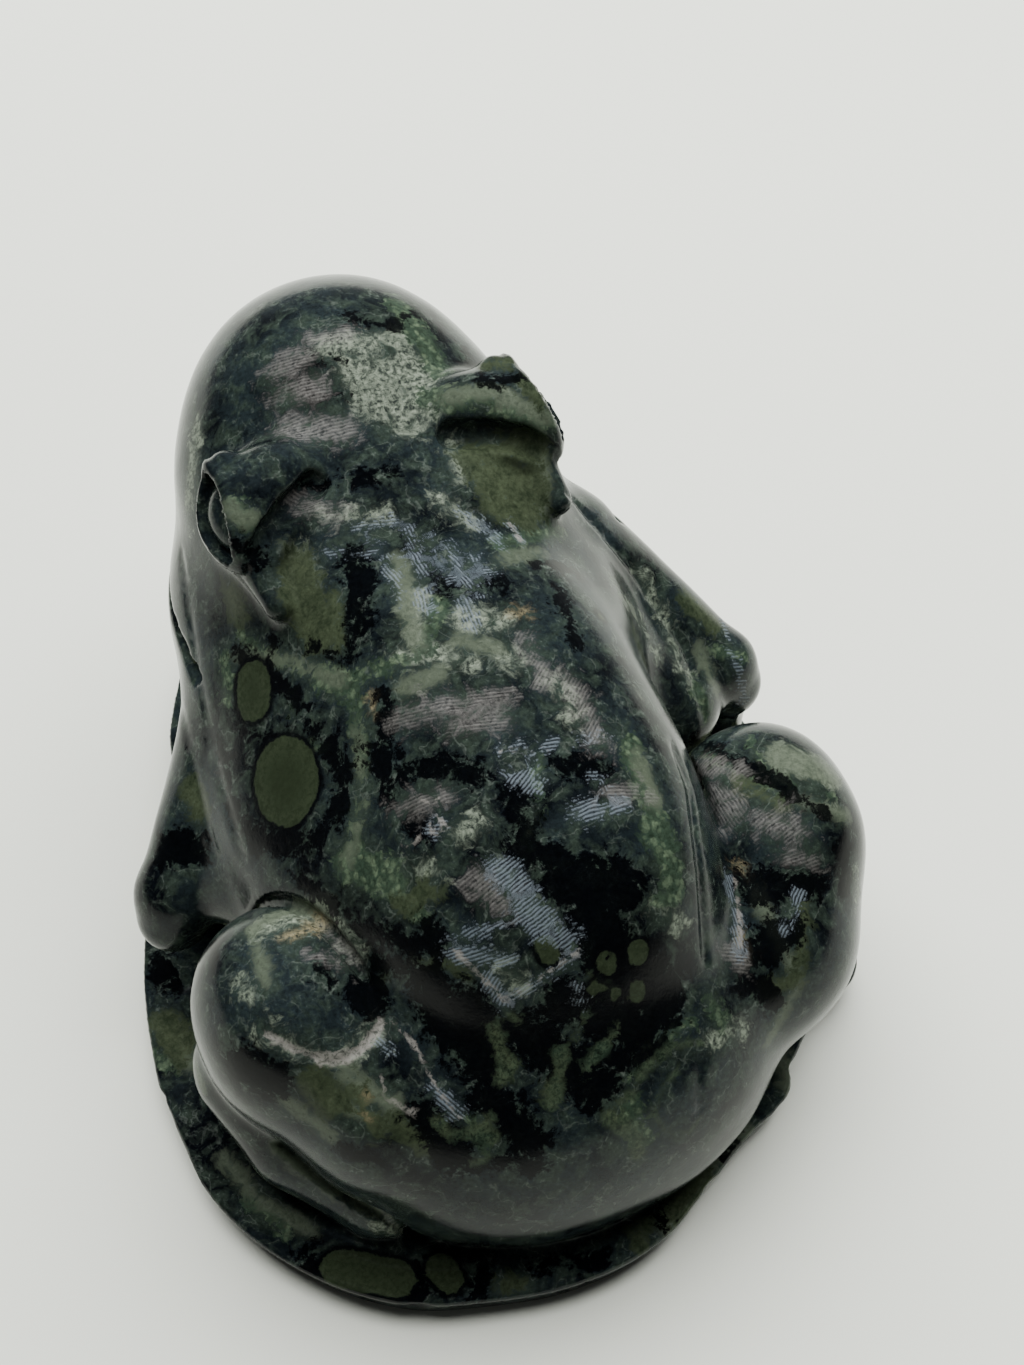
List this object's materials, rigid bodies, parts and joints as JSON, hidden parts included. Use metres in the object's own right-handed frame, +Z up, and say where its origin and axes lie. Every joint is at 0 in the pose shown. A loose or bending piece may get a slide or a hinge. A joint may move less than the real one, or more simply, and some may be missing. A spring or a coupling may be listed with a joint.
{
  "type": "jasper frog carving",
  "caption": "Squatting frog carved and polished from one piece of mottled green jasper, on the flat slab left under it.",
  "frame": {"origin": "on the flat underside of the slab, under the middle of the frog", "axes": "+Z up, the frog faces -Y, its left side is +X"},
  "size_m": [0.061, 0.0762, 0.044],
  "materials": {
    "green_jasper": "polished, with unpolished tool marks"
  },
  "bodies": {
    "root": {"frog_carving": "green_jasper"}
  },
  "joints": []
}
